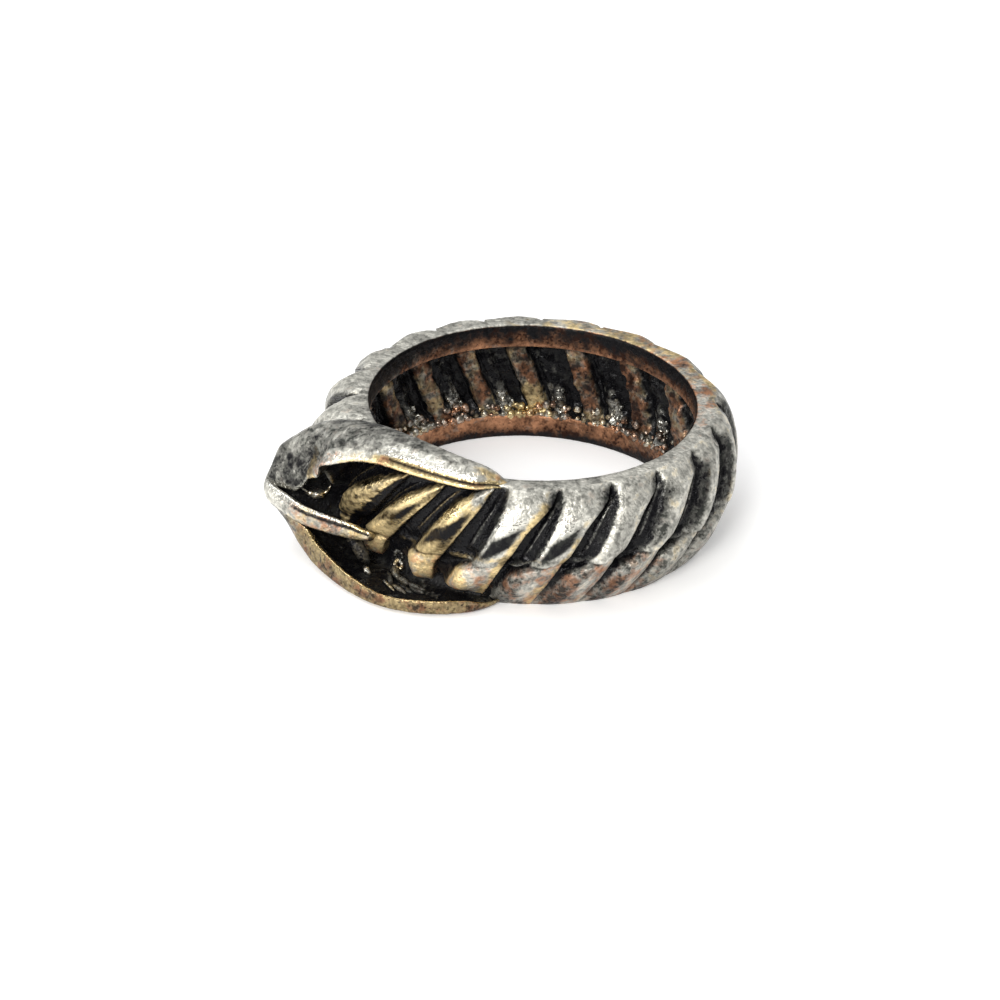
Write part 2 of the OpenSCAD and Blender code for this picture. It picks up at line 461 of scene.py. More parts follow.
# %% Band: the spot
def spot_on_rib(i, mesh_share, t):
    """Spot at a share of rib i's period. Across runs from 0 at a rib's left border to 1 at
    its sharp edge, and way from 0 to 1 over the groove that follows."""
    right = right_edge(i, t)
    if mesh_share < EDGE_SHARE:
        share = mesh_share / EDGE_SHARE * right
    else:
        share = 1 - (1 - mesh_share) / (1 - EDGE_SHARE) * (1 - right)
    angle_top, lean, reach = mix_all(GROOVES[i], GROOVES[i + 1], share)
    azimuth = (angle_top - lean * (1 - t) / 2) % 360
    z = t * HALF_H

    height, across = rib_height(i, share, t)
    after = (i + 1) % RIBS
    if share > 0.5:
        next_height, next_across = rib_height(after, share - 1, t)
        if next_height > height:
            height, across = next_height, next_across
    if share >= right:
        groove, past = after, share - right
    else:
        groove, past = i, share + 1 - right_edge((i - 1) % RIBS, t)
    gap = max(left_border(groove, t) + 1 - right_edge((groove - 1) % RIBS, t), 0.1)
    parting = parting_height(azimuth)
    below = (parting - z) / HALF_H
    on_rib = ease(0.25, 0.60, height)
    spot = SimpleNamespace(
        t=t,
        z=z,
        azimuth=azimuth,
        reach=RIB_REACH * reach,
        rib=after if share > max(right, 0.5) and across <= 0.5 and height > 0 else i,
        height=height,
        across=across,
        on_rib=on_rib,
        edge=hump(0.97, 0.10, across) * on_rib,
        groove=groove,
        past=past,
        gap=gap,
        way=past / gap,
        parting=parting,
        below=below,
        lower=ease(0.0, 0.03, below),
        front=ease(0.1, 0.8, math.cos(math.radians(azimuth - FRONT))),
        mouth=ease(198, 206, azimuth) * (1 - ease(250, 258, azimuth)),
        west=1 - ease(268, 300, azimuth) if azimuth > 200 else 0.0,
        east=ease(300, 316, azimuth) if azimuth > 200 else 1.0,
    )
    spot.ledge = ledge_at(spot)
    spot.streak = streak_at(spot)
    return spot


# %% Band: the outside
def outside_point(spot):
    crest, floor = row_at(OUTSIDE, spot.t)
    drop = ease(0.0, 0.035, spot.below)
    open_lobe = 0.10 * math.exp(-max(spot.below, 0.0) / 0.3) * ease(0.2, 0.6, spot.height)
    crest = mix(crest - drop * open_lobe, row_at(LOBES, spot.t)[0], drop * spot.mouth)
    crest -= mix(0.03, 0.14, spot.mouth) * hump(0.03, 0.035, spot.below)
    relief = mix(groove_floor(spot, floor), crest, spot.height) + spot.streak
    return COLLAR + spot.reach * relief


# %% [markdown]
# The tarnish belongs to the form: black settles in the grooves, the plate is rubbed
# bright on the crests and through to brass or copper where fingers and the mould's
# edges wore it. So the spot that made a point also says how it is finished. First
# how dark the plate is on a crest, at the front, at the sides and in the mouth.

# %% Band: tarnish and painted shade of the crests
# height, how dark a crest is at the front
FRONT_CREST = [
    (-1, 0.42),
    (-0.5, 0.24),
    (-0.17, 0.16),
    (0.0, 0.20),
    (0.4, 0.06),
    (0.66, 0.06),
    (0.78, 0.26),
    (0.90, 0.26),
    (1, 0.16),
]
# the same at the sides and the back
SIDE_CREST = [(-1, 0.50), (-0.2, 0.32), (0.0, 0.20)]
# the same on the leaves in the mouth
LEAF_CREST = [(-0.3, 0.22), (-0.1, 0.14), (0.2, 0.14), (0.34, 0.04), (0.7, 0.10), (0.9, 0.5)]


def dark_patch(spot):
    """A darker band across the middle of each rib, paler on the third one."""
    third = hump(2, 0.6, spot.rib)
    smear = hump(mix(0.04 + 0.45 * spot.across, 0.32, third), mix(0.17, 0.26, third), spot.t)
    on_crest = ease(0.0, 0.20, spot.across) * (1 - ease(0.60, 0.90, spot.across))
    return (0.76 - 0.42 * third) * min(1.0, 1.6 * smear) * on_crest


def front_crest_darkness(spot, patch):
    return patch + ramp(spot.t, *FRONT_CREST) + 0.16 * ease(0.62, 0.88, spot.across) * (1 - spot.lower)


def side_tarnish(spot):
    t, upper = spot.t, ease(-0.3, 0.1, spot.t)
    dark = ramp(t, *SIDE_CREST) - 0.10 * hump(3, 0.6, spot.rib)
    dark += 0.55 * (1 - ease(0.04, 0.30, spot.across)) * upper * (1 - ease(0.75, 0.92, t))
    return dark + 0.26 * hump(160, 26, spot.azimuth) * upper * (1 - ease(0.66, 0.90, t))


def leaf_tarnish_and_shade(spot, patch):
    dark = 0.9 * patch + ramp(spot.t, *LEAF_CREST)
    # painted shade: the right side of each leaf, towards its sharp edge, is darkened as the shade of its
    # round form
    painted_shade_near_edge = ease(0.42, 0.74, spot.across) * (1 - 0.6 * ease(0.84, 0.94, spot.across))
    dark += 0.62 * painted_shade_near_edge * ease(-0.2, 0.1, spot.t)
    return dark - 0.24 * (spot.rib == RIBS - 2)


def crest_tarnish_and_shade(spot, patch):
    # painted shade: the rib that runs on deep under the knot's roof is made black all over
    if spot.rib == RIBS - 4 and spot.mouth > 0.3:
        return 1.0
    if spot.rib == RIBS - 3:
        speckled = 0.9 * grain(spot.azimuth, spot.z, 0.22, 31.0)
        return 0.30 + 0.85 * ease(0.66, 0.80, spot.across) + speckled
    dark = mix(front_crest_darkness(spot, patch), side_tarnish(spot), spot.east)
    dark = mix(dark, mix(leaf_tarnish_and_shade(spot, patch), 0.02, spot.lower), spot.mouth)
    open_front = (1 - spot.mouth) * (1 - spot.east)
    dark += 0.26 * spot.lower * open_front * (1 - ease(0.30, 0.55, spot.across))
    dark -= 0.16 * spot.lower * hump(0, 0.6, spot.rib)
    return mix(dark, 0.16, 0.8 * spot.edge)


# %% [markdown]
# Then where the plate is worn through or rubbed bright. Brass shows along the sharp
# edges and all over the ribs in the mouth, copper on the lower half of the ribs.

# %% Band: worn and rubbed places
# angle, how much copper shows below the parting line
COPPER_FEET = [(262, 0.34), (285, 0.40), (305, 0.38), (330, 0.1), (360, 0.0)]
# angle, how bright the crests are rubbed
BRIGHT_CRESTS = [(200, 0.7), (230, 1.0), (262, 1.0), (278, 0.95), (289, 0.40), (298, 0.10), (360, 0.05)]
# height, how much of a groove's black shows
GROOVE_BLACK = [(-1, 0.3), (-0.6, 0.7), (-0.2, 1.0), (0.88, 1.0), (0.96, 0.6), (1.0, 0.0)]


def bare_metal(spot):
    """How much brass and how much copper shows."""
    brass = spot.mouth * mix(0.85, 0.55, spot.lower)
    brass += (0.7 * spot.edge + 0.45 * hump(-0.06, 0.08, spot.t)) * spot.west
    if spot.azimuth > 300 or spot.azimuth < 60:
        brass += 0.14 * spot.on_rib
    brass += 0.55 * spot.west * (1 - spot.mouth) * ease(0.60, 0.85, spot.across) * spot.on_rib
    copper = spot.lower * mix(ramp(spot.azimuth, *COPPER_FEET), 0.40, spot.mouth)
    if spot.azimuth < 95:
        top_right = 1 - ease(65, 95, spot.azimuth)
        copper += 0.4 * ease(0.95, 1.0, spot.t) * top_right
        brass += 0.5 * ease(0.90, 1.0, spot.t) * top_right
    return brass, copper


def rubbed_bright(spot, patch):
    if spot.azimuth < 200:
        return 0.05
    bright = hump(0.50, 0.24, spot.t) * ramp(spot.azimuth, *BRIGHT_CRESTS)
    bright = max(bright, 0.7 * hump(0.12, 0.12, spot.t) * (1 - spot.east))
    bright *= spot.on_rib * (1 - 0.5 * ease(0.7, 0.95, spot.across))
    return mix(bright, 0.1, spot.lower * spot.mouth) * (1 - 1.2 * patch)


def outside_finish(spot):
    patch = dark_patch(spot)
    brass, copper = bare_metal(spot)
    black = ramp(spot.t, *GROOVE_BLACK)
    groove = 1.14 - (0.22 + 0.16 * spot.east) * ease(0.45, 1.0, spot.way)
    oxide = mix(groove * black + 0.2 * (1 - black), crest_tarnish_and_shade(spot, patch), spot.on_rib)
    left_half = 1 - ease(0.3, 0.8, spot.across)
    oxide += 0.55 * hump(0.03, 0.03, spot.below) * spot.on_rib * (spot.mouth + 0.4 * left_half)
    # the thin ridge in each groove is also painted paler, a painted highlight along it
    oxide -= 1.2 * min(spot.ledge, 0.3) * (1 - spot.on_rib) + 6.0 * spot.streak
    polish = mix(0.8 * black, rubbed_bright(spot, patch), spot.on_rib)
    return oxide, brass, copper, polish


# %% [markdown]
# Inside, two smooth rims touch the finger. Between them the casting is hollow
# behind each rib, with a rough bar left standing between the hollows, and a low
# tongue of metal in the foot of each hollow.

# %% Band: the inside
# height of a rim, depth of the channel between the rims, depth of the hollows
RIM_H = 1.3
CHANNEL = 0.4
HOLLOW = 0.98
STEP_Z = HALF_H - RIM_H
EDGE = 0.07

# points of the outline: top face, each rim, back wall, bottom face
FACE_STATIONS = 4
RIM_STATIONS = 7
BACK_STATIONS = 24
UNDER_STATIONS = 3


def inside_outline(i, share, top_out, bottom_out):
    angle_top, lean, _ = mix_all(GROOVES[i], GROOVES[i + 1], share)
    slot = (share + 0.25) % 1.0
    rows = []
    for k in range(FACE_STATIONS):
        rows.append((mix(top_out, EDGE, (k + 1) / FACE_STATIONS), HALF_H, "face"))
    for k in range(RIM_STATIONS):
        rows.append((0.0, mix(HALF_H - EDGE, STEP_Z, k / (RIM_STATIONS - 1)), "rim"))
    for k in range(BACK_STATIONS):
        z = mix(STEP_Z - 0.05, -STEP_Z + 0.05, k / (BACK_STATIONS - 1))
        angle = angle_top - lean * (HALF_H - z) / (2 * HALF_H)
        wander = share + 0.05 * grain(angle, z, 0.6, 9.0)
        bar = ease(0.34, 0.42, wander) - ease(0.72, 0.80, wander)
        channel = CHANNEL * ease(0.0, 0.14, STEP_Z - abs(z))
        deep_top = ease(0.12, 0.55, STEP_Z - z)
        deep_foot = ease(0.10, 0.95, STEP_Z + z)
        depth = channel + (HOLLOW - CHANNEL) * (1 - bar) * deep_top * deep_foot
        tongue = hump(0.42, 0.16, slot) * (1 - bar) * (0.20 + 0.28 * ease(-0.6, 1.6, -z))
        rough = 0.16 * grain(angle, z, 0.62, 3.0) + 0.11 * grain(angle, z, 0.26, 5.0)
        depth -= tongue * deep_top * deep_foot + rough * min(1.0, channel / CHANNEL)
        kind = "bar" if bar > 0.5 else "tongue" if abs(slot - 0.42) < 0.13 else "slot"
        rows.append((min(max(depth, 0.02), 1.0), z, kind))
    for k in range(RIM_STATIONS):
        rows.append((0.0, mix(-STEP_Z, -HALF_H + EDGE, k / (RIM_STATIONS - 1)), "rim"))
    for k in range(UNDER_STATIONS):
        rows.append((mix(EDGE, bottom_out, k / UNDER_STATIONS), -HALF_H, "under"))
    return angle_top, lean, rows


# %% Band: finish of the inside
def rim_finish(azimuth, z, blotch, patch):
    left = hump(165, 30, azimuth)
    right = hump(50, 30, azimuth)
    if z > 0:
        way = (HALF_H - z) / RIM_H
        # the thin paler line at this rim's lower edge is a painted highlight
        dull = mix(0.84, 0.48, ease(0.1, 0.9, way)) - 0.22 * hump(1, 0.10, way) + 0.30 * left
    else:
        way = (-STEP_Z - z) / RIM_H
        # the thin paler line at this rim's upper edge is a painted highlight
        dull = mix(0.36, 0.84, ease(0.4, 1.0, way)) - 0.22 * hump(0, 0.10, way)
    dull += 0.16 * hump(40, 40, azimuth) + 0.18 * blotch + 0.14 * patch
    return dull, 0.35 * right + 0.1, 0.95 - 0.5 * left, 0.1


def inside_finish(azimuth, z, kind):
    blotch = grain(azimuth, z, 0.9, 11.0)
    patch = grain(azimuth, z, 0.35, 21.0)
    if kind == "rim":
        return rim_finish(azimuth, z, blotch, patch)
    if kind == "bar":
        gold = 0.6 * hump(92, 12, azimuth) * ease(-0.6, 1.4, -z)
        dull = 0.56 - 0.26 * gold + 0.16 * blotch + 0.22 * patch
        return dull, 0.40 + gold, 0.55 - gold + 0.3 * blotch, 0.1
    if kind == "tongue":
        return 0.98 + 0.4 * patch - 0.42 * ease(-0.2, 1.6, -z), 0.1, 0.0, 0.9
    if kind == "slot":
        return 1.05 + 0.3 * blotch, 0.0, 0.1, 0.6
    if kind == "under":
        return 0.5, 0.2, 0.4, 0.0
    gold = 0.6 * hump(60, 36, azimuth)
    copper = 0.5 * hump(20, 40, azimuth) + 0.5 * hump(380, 40, azimuth)
    return 0.28 + 0.3 * blotch + 0.3 * patch, gold, copper, 0.3


# %% [markdown]
# Now the band can be made: one section for each step along the ribs, closed round
# the ring. The skin of a sand or wax casting is never quite flat, so two sizes of
# noise move it in and out by a hundredth of a millimetre.

# %% Band: made
def band_section(i, share):
    outline = []
    outs = []
    for j in range(OUTER_STATIONS):
        spot = spot_on_rib(i, share, ramp(j, *OUTER_HEIGHTS))
        outs.append(outside_point(spot))
        outline.append((polar(spot.azimuth, outs[-1], spot.z), outside_finish(spot)))
    angle_top, lean, rows = inside_outline(i, share, outs[-1], outs[0])
    for out, z, kind in rows:
        angle = angle_top - lean * (HALF_H - z) / (2 * HALF_H)
        outline.append((polar(angle, out, z), inside_finish(angle % 360, z, kind)))
    return outline


def cast_skin(at):
    return 0.012 * noise.noise(at / 0.45) + 0.010 * noise.noise(at / 0.18)


shares = [ramp(j, *RIB_SPREAD) for j in range(RIB_STEPS)]
band_sections = [band_section(i, share) for i in range(RIBS) for share in shares]
band = carry_round("ribbed_band", band_sections, 0, 360, cast_skin, cuts=RING_CUTS)

# %% [markdown]
# The knot is the casting's head: a leaf-shaped body, pointed at the left, split by a
# mouth. Its section is a C. The outline below goes up the lower lip, in over its
# sill, along the floor, up the back of the hollow, out under the roof, round the
# upper lip and down behind the band. Near the tip the hollow closes to a shallow,
# concave face, with a small tooth where the mouth begins.

# %% Knot: tables
# angle, then out and height of: inner top edge, shoulder, mouth's upper edge, lower lip, foot
KNOT = [
    (180, 1.60, 0.60, 1.80, 0.50, 1.90, 0.00, 1.90, -0.20, 1.70, -0.80),
    (185, 1.75, 1.50, 2.60, 1.35, 3.10, 0.20, 3.00, -0.35, 2.60, -1.50),
    (189, 1.85, 2.10, 3.30, 1.95, 4.25, 0.25, 4.10, -0.40, 3.30, -1.90),
    (193, 1.90, 2.85, 3.80, 2.50, 5.25, 0.25, 5.20, -0.35, 4.10, -2.00),
    (196, 1.90, 3.30, 3.90, 2.90, 5.85, 0.22, 5.85, -0.30, 4.60, -2.15),
    (199, 1.80, 3.70, 3.55, 3.60, 5.45, 0.22, 5.58, -0.48, 4.70, -1.95),
    (203, 1.50, 4.05, 3.15, 4.12, 4.75, 0.24, 5.14, -0.82, 4.60, -2.40),
    (203.8, 1.37, 4.09, 3.04, 4.16, 4.45, 0.50, 5.06, -0.87, 4.57, -2.50),
    (204.8, 1.20, 4.14, 2.91, 4.20, 4.22, 1.05, 4.96, -0.94, 4.54, -2.64),
    (206, 1.00, 4.20, 2.75, 4.26, 4.15, 1.22, 4.84, -1.02, 4.50, -2.78),
    (207.4, 0.85, 4.28, 2.60, 4.31, 4.10, 1.45, 4.68, -1.12, 4.46, -2.90),
    (208.8, 0.74, 4.32, 2.49, 4.35, 4.05, 1.68, 4.54, -1.30, 4.44, -2.99),
    (209.6, 0.68, 4.34, 2.43, 4.37, 4.04, 2.35, 4.49, -1.44, 4.43, -3.04),
    (212, 0.50, 4.42, 2.20, 4.43, 4.00, 2.75, 4.45, -1.72, 4.40, -3.16),
    (218, 0.25, 4.55, 1.80, 4.55, 3.10, 3.35, 4.40, -1.98, 4.30, -3.34),
    (225, 0.15, 4.62, 1.40, 4.65, 2.50, 3.60, 4.38, -2.30, 4.25, -3.45),
    (235, 0.10, 4.62, 1.20, 4.66, 2.20, 3.65, 4.26, -2.58, 4.15, -3.45),
    (245, 0.10, 4.47, 1.10, 4.50, 2.00, 3.60, 3.62, -2.54, 3.50, -3.45),
    (254, 0.10, 4.20, 0.90, 4.22, 1.75, 3.50, 2.72, -2.58, 2.55, -3.45),
    (259, 0.12, 3.85, 0.65, 3.87, 1.20, 3.45, 1.90, -2.95, 1.70, -3.45),
    (263, 0.25, 3.40, 0.50, 3.41, 0.65, 3.20, 0.80, -3.15, 0.70, -3.42),
]
# rise of the crown, how far out the wall behind the hollow is, width of the lower sill
CROWN_RISE = 0.084
KNOT_BACK = 1.09
SILL = 0.8
KNOT_STEP = 0.4
SMOOTHING = 3

# %% [markdown]
# Along the lips the finish runs in lines: a gilt edge of worn brass, a brown line over
# it and a bright one above that, all on the right half, where the lip is turned up
# to the light. The brown line is partly brass and partly painted shade of a small
# groove; the bright line and the band under the shoulder are a painted highlight.
# Each has its own name here, so that the section can say which it carries.

# %% Knot: finish
DARK = (1.0, 0.0, 0.0, 0.5)


def face_share(angle):
    """1 on the concave face at the tip, 0 along the lips."""
    return 1 - ease(205, 212, angle)


def knot_finish(angle):
    """Oxide, brass, copper and polish of each part of the section."""
    face = face_share(angle)
    right = ease(248, 260, angle)
    worn = ease(208, 228, angle)
    gilt = ease(198, 210, angle)
    lit = ease(220, 232, angle)
    tooth = ease(204.2, 205, angle) * (1 - ease(209, 209.6, angle))
    face_plate = mix_all((0.70, 0.0, 0.0, 0.5), (0.66, 0.5, 0.3, 0.3), tooth)
    face_edge = mix_all((0.40, 0.0, 0.0, 0.7), (0.12, 0.6, 0.3, 0.6), tooth)
    pale = (0.16, 0.35 * worn, 0.30, 0.5)
    grey = (0.58 - 0.34 * ease(230, 250, angle), 0.0, 0.0, 0.15)
    # bright and the band under the shoulder are a painted highlight: clean, polished plate on the lip's roll,
    # with brass towards the right end
    bright = (0.06, 0.10 + 0.5 * right, 0.0, 1.0)
    gilt_and_highlight_under_shoulder = (0.10, 0.7 * right, 0.3 * right, 0.8)
    return SimpleNamespace(
        lower_lip=(0.56, 0.75 * gilt, 0.40 * gilt, 0.2),
        lower_edge=(0.52, 0.8 * gilt, 0.3 * gilt, 0.5),
        sill=(0.02, 0.8 * gilt, 0.1, 0.9),
        sill_foot=(0.75, 0.6 * worn, 0.2, 0.9),
        upper_edge=mix_all((0.03, 0.85 * worn, 0.35, 0.8), face_edge, face),
        gilt_line=mix_all(mix_all(pale, (0.20, 1.3, 0.0, 0.6), lit), face_plate, face),
        # the brown line is brass, darkened as painted shade of the small groove under the highlight
        brass_and_shade_line=mix_all(mix_all(pale, (0.82, 1.6, 0.4, 0.2), lit), face_plate, face),
        # the bright line is a painted highlight
        painted_highlight_line=mix_all(mix_all(grey, bright, lit), face_plate, face),
        gilt_and_highlight_under_shoulder=mix_all(grey, gilt_and_highlight_under_shoulder, lit * (1 - 0.3 * right)),
        shoulder=(0.50 - 0.3 * right, 0.8 * right, 0.4 * right, 0.2),
        crown=grey,
    )


# %% Knot: section
def knot_corners(angle):
    """Corners of the section: out, height, points up to the next corner, finish."""
    sizes = row_at(KNOT, angle)
    top_o, top_z, shoulder_o, shoulder_z, mouth_o, mouth_z, lip_o, lip_z, foot_o, foot_z = sizes
    finish = knot_finish(angle)
    face = face_share(angle)
    deep = ease(196, 202, angle)
    worn = ease(208, 228, angle)
    lit = ease(220, 232, angle)
    hollow_z = foot_z + 0.45
    roof_o = mix(mouth_o, shoulder_o, 0.6) - 0.5
    roof_z = min(3.0, mix(mouth_z, shoulder_z, 0.6) - 0.55)
    roof_edge_z = mouth_z + 0.10 * face - 0.16 * (1 - face)
    back_z = min(3.1, top_z - 0.45)
    mid_o, mid_z = mix(lip_o, mouth_o, 0.5), mix(lip_z, mouth_z, 0.5)
    dished = 0.16 * face * ease(195, 200, angle)

    def inner(o, z, flat_z, flat_in):
        """A corner of the hollow, which closes towards the tip."""
        return mix(mid_o - flat_in, o, deep), mix(mid_z + flat_z * (mouth_z - lip_z), z, deep)

    def lip(share_o, share_z, move_o, move_z):
        """A corner of the upper lip, between the mouth and the shoulder."""
        return mix(mouth_o, shoulder_o, share_o) + move_o, mix(mouth_z, shoulder_z, share_z) + move_z

    return [
        (foot_o - 0.17, foot_z, 3, (0.5, 0.4, 0.4, 0.1)),
        (foot_o + 0.10, foot_z + 0.15, 7, finish.lower_lip),
        (mix(foot_o, lip_o, 0.7) + 0.06, mix(foot_z, lip_z, 0.6), 4, finish.lower_lip),
        (lip_o, lip_z, 3, finish.lower_edge),
        (*inner(lip_o - 0.22 * SILL, lip_z - 0.03, -0.30, 0.10), 3, finish.sill),
        (*inner(lip_o - 0.5 * SILL, lip_z - 0.30, -0.20, 0.18), 5, finish.sill_foot),
        (*inner(lip_o - 1.3 * SILL, hollow_z, -0.10, 0.22), 6, DARK),
        (*inner(KNOT_BACK, hollow_z, -0.03, 0.24), 8, DARK),
        (*inner(KNOT_BACK, roof_z, 0.10, 0.22), 6, DARK),
        (*inner(roof_o, roof_z, 0.22, 0.16), 5, DARK),
        (*inner(mouth_o - 0.26, roof_edge_z, 0.36, 0.06), 3, (0.9, 0.0, 0.0, 0.5)),
        (mouth_o - 0.05, mouth_z - 0.03, 2, finish.upper_edge),
        (*lip(0.09, 0.12, 0.05 * worn, 0), 3, finish.gilt_line),
        # a brass line with painted shade, then the painted highlight on the lip's roll
        (*lip(0.22, 0.31, -0.06 * lit, -0.03 * lit), 3, finish.brass_and_shade_line),
        (*lip(0.40, 0.53, 0.15 * face - dished, -dished), 5, finish.painted_highlight_line),
        (*lip(0.52, 0.74, 0.16 * face, 0.04 * face), 5, finish.gilt_and_highlight_under_shoulder),
        (shoulder_o, shoulder_z, 5, finish.shoulder),
        (mix(shoulder_o, top_o, 0.7), mix(shoulder_z, top_z, 0.7) + CROWN_RISE, 3, finish.crown),
        (top_o, top_z - 0.11, 4, finish.crown),
        (max(top_o, 0.0) + 0.02, mix(top_z, back_z, 0.8), 3, (0.6, 0.0, 0.3, 0.2)),
        (0.75, back_z, 4, DARK),
        (KNOT_BACK, mix(foot_z, back_z, 0.8), 8, DARK),
        (KNOT_BACK, mix(foot_z, back_z, 0.25), 4, DARK),
        (0.65, foot_z + 0.02, 5, DARK),
    ]


def rounded(rows):
    """Softens the corners of a closed outline of (out, height, finish) rows."""
    for _ in range(SMOOTHING):
        rows = [
            (
                (rows[k - 1][0] + 2 * o + rows[(k + 1) % len(rows)][0]) / 4,
                (rows[k - 1][1] + 2 * z + rows[(k + 1) % len(rows)][1]) / 4,
                finish,
            )
            for k, (o, z, finish) in enumerate(rows)
        ]
    return rows


# %% [markdown]
# The plate on the knot isn't even: thin tarnish lies on it in cloudy patches, half a
# millimetre wide and less. Noise adds them wherever the plate still hides the brass.

# %% Knot: made
def knot_section(angle):
    corners = knot_corners(angle)
    rows = []
    for (o0, z0, count, finish0), (o1, z1, _, finish1) in zip(corners, corners[1:] + corners[:1]):
        for k in range(count):
            f = k / count
            rows.append((mix(o0, o1, f), mix(z0, z1, f), mix_all(finish0, finish1, f)))
    section = []
    for o, z, (oxide, *rest) in rounded(rows):
        place = polar(angle, o, z)
        at = place / MM
        plated = 1 - min(rest[0], 1.0)
        oxide += (0.26 * noise.noise(at / 0.55) + 0.20 * noise.noise(at / 0.24)) * plated
        section.append((place, (oxide, *rest)))
    return section


def knot_skin(at):
    return 0.016 * noise.noise(at / 0.7) + 0.012 * noise.noise(at / 0.2)


first, last = KNOT[0][0], KNOT[-1][0]
knot_steps = round((last - first) / KNOT_STEP)
knot_sections = [knot_section(mix(first, last, k / knot_steps)) for k in range(knot_steps + 1)]
knot = carry_round("knot_body", knot_sections, first, last, knot_skin)
tip = max(point.co.xy.length for point in knot.data.vertices)
print(f"tip {tip / MM:.2f} mm from the finger hole's axis")

# %% [markdown]
# A thin strand leaves the tip and crosses the mouth, flattened like a blade of grass
# with a ridge on its upper edge, which carries a painted highlight: a paler, more
# polished line along its top. Its underside is painted darker as shade. It grows out
# of the slit between the lips, so its first rows are small and lie inside the tip.

# %% Strand
# angle, out, height, half height, half depth
STRAND = [
    (185.5, 2.90, -0.08, 0.10, 0.10),
    (190.0, 4.25, -0.08, 0.26, 0.20),
    (194.5, 5.38, -0.02, 0.33, 0.27),
    (199.5, 5.60, -0.10, 0.50, 0.35),
    (204.0, 5.10, -0.30, 0.54, 0.38),
    (208.7, 4.55, -0.50, 0.52, 0.38),
    (214.0, 3.45, -0.82, 0.50, 0.38),
    (217.5, 2.75, -1.00, 0.43, 0.34),
    (219.5, 2.45, -1.09, 0.34, 0.30),
    (221.5, 2.15, -1.16, 0.22, 0.26),
]
STRAND_SIDES = 28
STRAND_STEPS = 120
# where on the strand's round section the ridge, its painted highlight and the dark stripe are
RIDGE = math.radians(76)
HIGHLIGHT_TURN = math.radians(78)
STRIPE = math.radians(44)


def strand_section(angle):
    out, z, half_height, half_depth = row_at(STRAND, angle)
    pink = ease(202, 210, angle)
    plate = mix(0.50, 0.22, ease(193, 199, angle)) + 0.12 * pink
    outline = []
    for k in range(STRAND_SIDES):
        turn = 2 * math.pi * k / STRAND_SIDES
        ridge = 1 + 0.16 * hump(RIDGE, 0.28, turn)
        across, up = half_depth * math.cos(turn) * ridge, half_height * math.sin(turn) * ridge
        # top is the painted highlight along the ridge, paler and more polished; under is painted shade on the
        # underside
        top = hump(HIGHLIGHT_TURN, 0.34, turn)
        under = ease(0.5, 0.95, -math.sin(turn))
        dull = plate + 0.6 * under - 0.16 * top + 0.65 * hump(STRIPE, 0.20, turn) * pink
        finish = (dull, 0.38 * pink, 0.40 * pink * (1 - top), 0.3 + 0.6 * top)
        outline.append((polar(angle, out + across, z + up), finish))
    return outline


first, last = STRAND[0][0], STRAND[-1][0]
strand_angles = [mix(first, last, k / STRAND_STEPS) for k in range(STRAND_STEPS + 1)]
strand_sections = [strand_section(angle) for angle in strand_angles]
strand = carry_round("strand", strand_sections, first, last, knot_skin)

# %% [markdown]
# Small beads of metal stay in the corners of a rough casting, where the wax had
# bubbles: a row of them on the lower step of the finger hole, some in the hollows
# behind the ribs and a knot of them deep in the mouth. Each is a ball or a short rod
# sunk into the wall. A tree of the casting's faces finds the nearest wall, and a ball
# that would hang clear of it is moved there. All are one mesh, each with 80 faces.

# %% Casting beads: helpers
LUMPS = 0.5
LOOP_BEADS = 9


def faces_of(piece):
    bm = bmesh.new()
    bm.from_mesh(piece.data)
    faces = BVHTree.FromBMesh(bm)
    bm.free()
    return faces


CASTING = [faces_of(piece) for piece in (band, knot, strand)]


def seated(place, size):
    """The place, or one nearer the wall if a ball there would hang clear of it."""
    hits = [faces.find_nearest(place) for faces in CASTING]
    wall, normal, _, gap = min(hits, key=lambda hit: hit[3])
    if gap < 0.75 * size * MM or (place - wall).dot(normal) < 0:
        return place
    return wall.lerp(place, 0.6 * size * MM / gap)


def bead(bm, layers, place, size, finish, towards=None):
    """A lump at place, or a rod from place to towards."""
    made = bmesh.ops.create_icosphere(bm, subdivisions=2, radius=1.0)["verts"]
    shift = Vector((len(bm.verts) * 0.37, 0, 0))
    for point in made:
        point.co *= 1 + LUMPS * noise.noise(point.co * 1.4 + shift)
    wide = size * MM
    if towards is None:
        shape = Matrix.Translation(seated(place, size)) @ Matrix.Diagonal((wide, wide, wide, 1))
    else:
        along = towards - place
        turn = along.to_track_quat("Z", "X").to_matrix().to_4x4()
        long = along.length / 2 + wide
        shape = Matrix.Translation((place + towards) / 2) @ turn @ Matrix.Diagonal((wide, wide, long, 1))
    bmesh.ops.transform(bm, matrix=shape, verts=made)
    for point in made:
        for layer, value in zip(layers, finish):
            point[layer] = value


def loop(bm, layers, angle, out, height, across, size, finish):
    """A ring of lumps that faces outwards."""
    for k in range(LOOP_BEADS):
        turn = 2 * math.pi * k / LOOP_BEADS
        side = math.degrees(across * math.cos(turn) / (BORE_R + out))
        bead(bm, layers, polar(angle + side, out, height + across * math.sin(turn)), size, finish)


# %% Casting beads: made
BEADS_SEED = 11
STEP_FROM = 12.0
STEP_TO = 172
BEADS_BEHIND_RIB = 9

